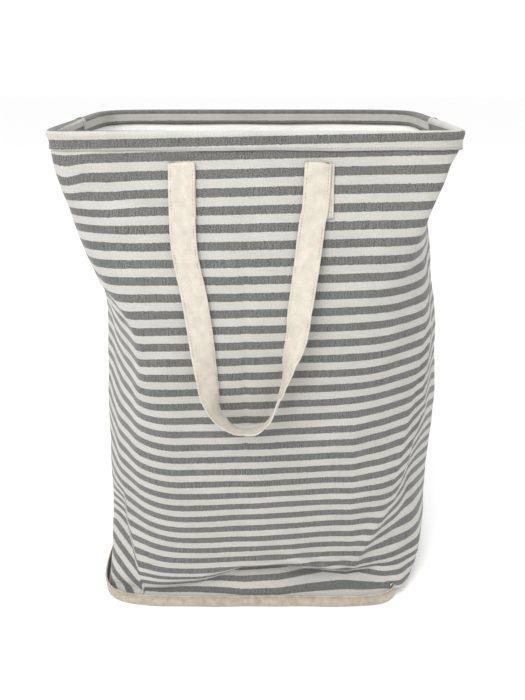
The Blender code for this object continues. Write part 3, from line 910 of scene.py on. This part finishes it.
def make_seam(side, points):
    """A low rounded ridge along the edge column of the front wall."""
    edge, inner = (points[:, 0], points[:, 1]) if side == "left" else (points[:, -1], points[:, -2])
    along = (inner - edge) * (1 if side == "left" else -1)
    along[:, 2] = 0
    along /= np.linalg.norm(along, axis=1, keepdims=True)
    out = np.cross(along, UP)
    across = np.linspace(-0.5, 0.5, 9)
    rise = SEAM_HIGH * (1 - np.abs(2 * across) ** 4) - 0.0002
    pucker = 0.0002 * np.sin(edge[:, 2] * 2 * math.pi / 0.011)
    ridge = (edge[:, None] + along[:, None] * (across * SEAM_WIDE)[None, :, None]
             + out[:, None] * (rise[None, :] + pucker[:, None])[..., None])
    run = np.broadcast_to(across * SEAM_WIDE + (1.0 if side == "left" else 2.0), ridge.shape[:2])
    up = front_up[:, :1] if side == "left" else front_up[:, -1:]
    up = np.broadcast_to(up, ridge.shape[:2])
    piece = grid_mesh(side + "_felled_seam", ridge, run, up, CANVAS)
    thicken(piece, 0.0006)
    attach(piece, "base")
    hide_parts(side + "_side_seam")
    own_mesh(piece)
    return [ridge[:, 2], ridge[:, 6]]


seam_rows = make_seam("left", front_points) + make_seam("right", front_points)
sew("seam_stitches", seam_rows, "base", THREAD_GREY, WALL_SQUASH)

# %% Bottom binding
BINDING_PROFILE = ((-0.0100, 0.0002), (-0.0040, 0.0001), (0.0004, 0.0003), (0.0017, 0.0013),
                   (0.0021, 0.0035), (0.0020, 0.0070), (0.0020, 0.0100), (0.0016, 0.0120),
                   (0.0026, 0.0135), (0.0023, 0.0147), (0.0014, 0.0155), (0.0024, 0.0168),
                   (0.0022, 0.0179), (0.0010, 0.0183), (0.0003, 0.0176))


def foot_line(spacing=0.0035):
    """The foot's outline from the middle of the back right round, with its run and directions."""
    angle = np.linspace(math.pi / 2, math.pi * 5 / 2, 2000)
    fine = rounded_box(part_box("bottom_panel"), 0.0, FOOT_SQUARENESS, np.arctan2(np.sin(angle),
                                                                               np.cos(angle)))
    length = run_along(fine)
    run = np.linspace(0, length[-1], round(length[-1] / spacing))
    line = np.stack([np.interp(run, length, fine[:, k]) for k in (0, 1)], axis=1)
    ahead = np.roll(line[:-1], -1, axis=0) - np.roll(line[:-1], 1, axis=0)
    ahead = np.vstack([ahead, ahead[:1]])
    out = np.stack([ahead[:, 1], -ahead[:, 0]], axis=1)
    return line, run, out / np.linalg.norm(out, axis=1, keepdims=True)


def make_binding():
    line, run, out = foot_line()
    turn = run / run[-1] * 2 * math.pi
    rows = []
    for k, (d, z) in enumerate(BINDING_PROFILE):
        soft = 0.0003 * np.sin(turn * 17 + 0.5 * k) + 0.00025 * np.sin(turn * 7)
        ring = line + out * (d + soft * (k > 2))[:, None]
        lift = z + 0.0004 * np.sin(turn * 9 + 2) * (k > 6)
        rows.append(np.concatenate([ring, lift[:, None]], axis=1))
    points = np.array(rows)
    profile = np.array(BINDING_PROFILE)
    length = run_along(profile)
    up = np.broadcast_to(length[:, None], points.shape[:2])
    # The tape's darker colour is painted shade for the shadow at the foot.
    piece = grid_mesh("foot_binding", points, np.broadcast_to(run, points.shape[:2]), up, SHADED_TAPE)
    weld(piece)
    thicken(piece, 0.0010)
    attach(piece, "base")
    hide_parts("bottom_binding")
    sew("binding_stitches", [points[9] + np.column_stack([out, run * 0]) * 0.0002], "base",
        THREAD_CREAM)


make_binding()

# %% [markdown]
# ## The strap handles
# Each handle is a strip of cream canvas folded in three and stitched along both edges. Its ends are
# sewn flat to the wall, and the strap folds over the top of its sewn ends and hangs in a U. It lies
# flat on the wall at the top and turns on edge round the bottom of the loop.

# %% The strap's path
STRAP_PATH = (               # x, drop below the fold, and the twist in degrees
    (-.0739, 0, 0), (-.0742, .048, 0), (-.0734, .080, 0), (-.0699, .104, 0), (-.0654, .125, 2),
    (-.0609, .154, 8), (-.0562, .190, 21), (-.0529, .218, 37), (-.0495, .240, 51),
    (-.0430, .260, 76), (-.0340, .273, 92), (-.0240, .280, 99), (-.0100, .284, 103),
    (.0020, .281, 103), (.0120, .272, 102), (.0185, .261, 100), (.0240, .246, 95),
    (.0312, .220, 80), (.0360, .198, 60), (.0412, .180, 41), (.0438, .164, 32),
    (.0456, .147, 27), (.0479, .130, 22),
    (.0524, .097, 14), (.0573, .056, 0), (.0601, .041, 0), (.0625, 0, 0))
STRAP_WIDE = 0.0270
STRAP_THICK = 0.0022
TAB_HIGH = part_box("front_tab_left")[1].z
TAB_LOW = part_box("front_tab_left")[0].z
TAB_STAND = 0.0006
FOLD_RADIUS = 0.0016
TURN_SCALE = 0.0004              # weighs a degree of twist against a metre of path
STRAP_CRUMPLE = 0.0022


def wall_reach(side, x, z):
    """How far the canvas stands out at x and z; x runs to the right of whoever faces that side."""
    points = front_points if side == "front" else back_points
    sign = 1 if side == "front" else -1
    row = np.interp(z, points[:, 0, 2], np.arange(len(points)))
    below = int(min(max(math.floor(row), 0), len(points) - 2))
    reach = []
    for k in (below, below + 1):
        line = points[k][points[k][:, 1] * sign < -0.05]
        order = np.argsort(line[:, 0] * sign)
        reach.append(np.interp(x, (line[:, 0] * sign)[order], (-line[:, 1] * sign)[order]))
    return reach[0] + (reach[1] - reach[0]) * (row - below)


def smooth_path(points, count):
    """Evenly spread points on a smooth curve through the given ones."""
    points = np.array(points, float)
    padded = np.vstack([points[:1], points, points[-1:]])
    fine = []
    for p in zip(padded, padded[1:], padded[2:], padded[3:]):
        for t in np.linspace(0, 1, 12, endpoint=False):
            fine.append(0.5 * (2 * p[1] + (p[2] - p[0]) * t
                               + (2 * p[0] - 5 * p[1] + 4 * p[2] - p[3]) * t ** 2
                               + (3 * p[1] - p[0] - 3 * p[2] + p[3]) * t ** 3))
    fine = np.array([*fine, points[-1]])
    run = run_along(fine)
    even = np.linspace(0, run[-1], count)
    return np.stack([np.interp(even, run, fine[:, k]) for k in range(fine.shape[1])], axis=1)


def strap_stations(side, count=230):
    """Middle points, width directions and face directions along the strap, seen from its side."""
    path = smooth_path([(x, drop, turn * TURN_SCALE) for x, drop, turn in STRAP_PATH], count)
    stand = 2 * TAB_STAND + STRAP_THICK * 1.5
    centres, wides, faces = [], [], []
    for i, (x, drop, turn) in enumerate(path):
        twist = math.radians(turn / TURN_SCALE)
        a, b = path[min(i + 1, count - 1)], path[max(i - 1, 0)]
        along = Vector((a[0] - b[0], 0, b[1] - a[1])).normalized()
        out = Vector((0, -1, 0))
        flat = along.cross(out)
        wide = flat * math.cos(twist) + out * math.sin(twist)
        z = TAB_HIGH - drop
        lean = stand + (STRAP_WIDE - STRAP_THICK) / 2 * math.sin(twist)
        centres.append(Vector((x, -wall_reach(side, x, z) - lean, z)))
        wides.append(wide)
        faces.append(along.cross(wide))
    return centres, wides, faces


def fold_over(centres, wides, faces):
    """Add the half roll at each end, where the strap turns over the top of its sewn end."""
    for end in (0, -1):
        top, wide = centres[end].copy(), wides[end].copy()
        roll = [(top + Vector((0, FOLD_RADIUS * (1 - math.cos(a)), FOLD_RADIUS * math.sin(a))),
                 Vector((0, -math.cos(a), math.sin(a)))) for a in np.linspace(0.35, math.pi, 8)]
        for point, out in roll:
            face = out if faces[end].y < 0 else -out
            spot = 0 if end == 0 else len(centres)
            centres.insert(spot, point)
            wides.insert(spot, wide)
            faces.insert(spot, face)
    return centres, wides, faces


def ring_profile(count=28):
    """A flat strip's section with soft edges, as shares of half its width and thickness."""
    a = np.linspace(0, 2 * math.pi, count + 1)
    c, s = np.cos(a), np.sin(a)
    return np.stack([np.sign(c) * np.abs(c) ** 0.25, np.sign(s) * np.abs(s) ** 0.6], axis=1)


def wrinkle(along, across):
    """The strap's long soft wrinkles, from -1 to 1."""
    return noise.noise(Vector((along * 46, across * 0.7, 3.1 + STRAP_WIDE)))


def strip(name, centres, wides, faces, crumple):
    """Sweep the strip's section along its stations, with soft wrinkles across both faces."""
    section = ring_profile()
    run = run_along(np.array([tuple(p) for p in centres]))
    rows = []
    for centre, wide, face, s in zip(centres, wides, faces, run):
        ring = []
        for w, t in section:
            edge = abs(w) ** 6
            bend = wrinkle(s, w) * (1 - 0.5 * edge)
            bend += 0.5 * noise.noise(Vector((s * 120, w * 1.7, 8.7)))
            seam = 1 - 0.20 * math.exp(-((abs(w) - 0.80) / 0.07) ** 2)
            ring.append(centre + wide * (w * STRAP_WIDE / 2)
                        + face * (t * STRAP_THICK / 2 * seam + crumple * bend))
        rows.append(ring)
    points = np.array([[list(p) for p in ring] for ring in rows])
    across = np.broadcast_to(section[:, 0] * STRAP_WIDE / 2, points.shape[:2])
    up = np.broadcast_to(run[:, None], points.shape[:2])
    piece = grid_mesh(name, points, across, up, CREAM)
    weld(piece, cap=True)
    edges = []
    for w in (-0.81, 0.81):
        for t in (-1, 1):
            edges.append([c + wd * (w * STRAP_WIDE / 2)
                          + f * (t * STRAP_THICK / 2 * 0.86 + crumple * wrinkle(s, w) * 0.85)
                          for c, wd, f, s in zip(centres, wides, faces, run)])
    return piece, edges


def turned(points, side):
    """The back handle is the front one turned half round."""
    return points if side == "front" else [Vector((-p.x, -p.y, p.z)) for p in points]


# %% Two handles
for side in ("front", "back"):
    centres, wides, faces = fold_over(*strap_stations(side))
    centres, wides, faces = (turned(v, side) for v in (centres, wides, faces))
    strap, edges = strip(side + "_strap", centres, wides, faces, STRAP_CRUMPLE)
    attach(strap, side + "_handle")
    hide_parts(side + "_handle_strap")
    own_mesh(strap)
    sew(side + "_strap_stitches", edges, side + "_handle", THREAD_CREAM,
        HANDLE_SQUASH)
    print(side, "strap", round(sum((b - a).length for a, b in zip(centres, centres[1:])), 3), "m")

# %% Sewn strap ends
TAB_MIDDLES = (-0.0735, 0.0655)
TAB_STITCH, TAB_STITCH_LENGTH = 0.0026, 0.0020


def make_tab(side, label, x):
    """A sewn end: the strap's own strip, flat on the wall, with its stitched box."""
    levels = np.linspace(TAB_LOW, TAB_HIGH + 0.0004, 26)
    stand = TAB_STAND + STRAP_THICK / 2
    centres = [Vector((x, -wall_reach(side, x, z) - stand, z)) for z in levels]
    left = [wall_reach(side, x - STRAP_WIDE / 2, z) for z in levels]
    right = [wall_reach(side, x + STRAP_WIDE / 2, z) for z in levels]
    wides = [Vector((STRAP_WIDE, a - b, 0)).normalized() for a, b in zip(left, right)]
    faces = [UP.cross(w).normalized() * -1 for w in wides]
    centres, wides, faces = (turned(v, side) for v in (centres, wides, faces))
    name = side + "_sewn_end_" + label
    tab, _ = strip(name, centres, wides, faces, 0.0002)
    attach(tab, "rim")
    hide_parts(side + "_tab_" + label)
    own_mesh(tab)
    rows = []
    out = [f * (STRAP_THICK / 2 * 0.95) for f in faces]
    for w in (-0.82, -0.62, 0.62, 0.82):
        rows.append([c + wd * (w * STRAP_WIDE / 2) + o for c, wd, o in zip(centres, wides, out)])
    for k in (1, 3, 20, 22):
        rows.append([centres[k] + wides[k] * (w * STRAP_WIDE / 2) + out[k]
                     for w in np.linspace(-0.8, 0.8, 9)])
    sew(name + "_stitches", rows, "rim", THREAD_CREAM, HANDLE_SQUASH, TAB_STITCH,
        TAB_STITCH_LENGTH)


for side in ("front", "back"):
    for label, x in zip(("left", "right"), TAB_MIDDLES):
        seen = label if side == "front" else {"left": "right", "right": "left"}[label]
        make_tab(side, seen, x)
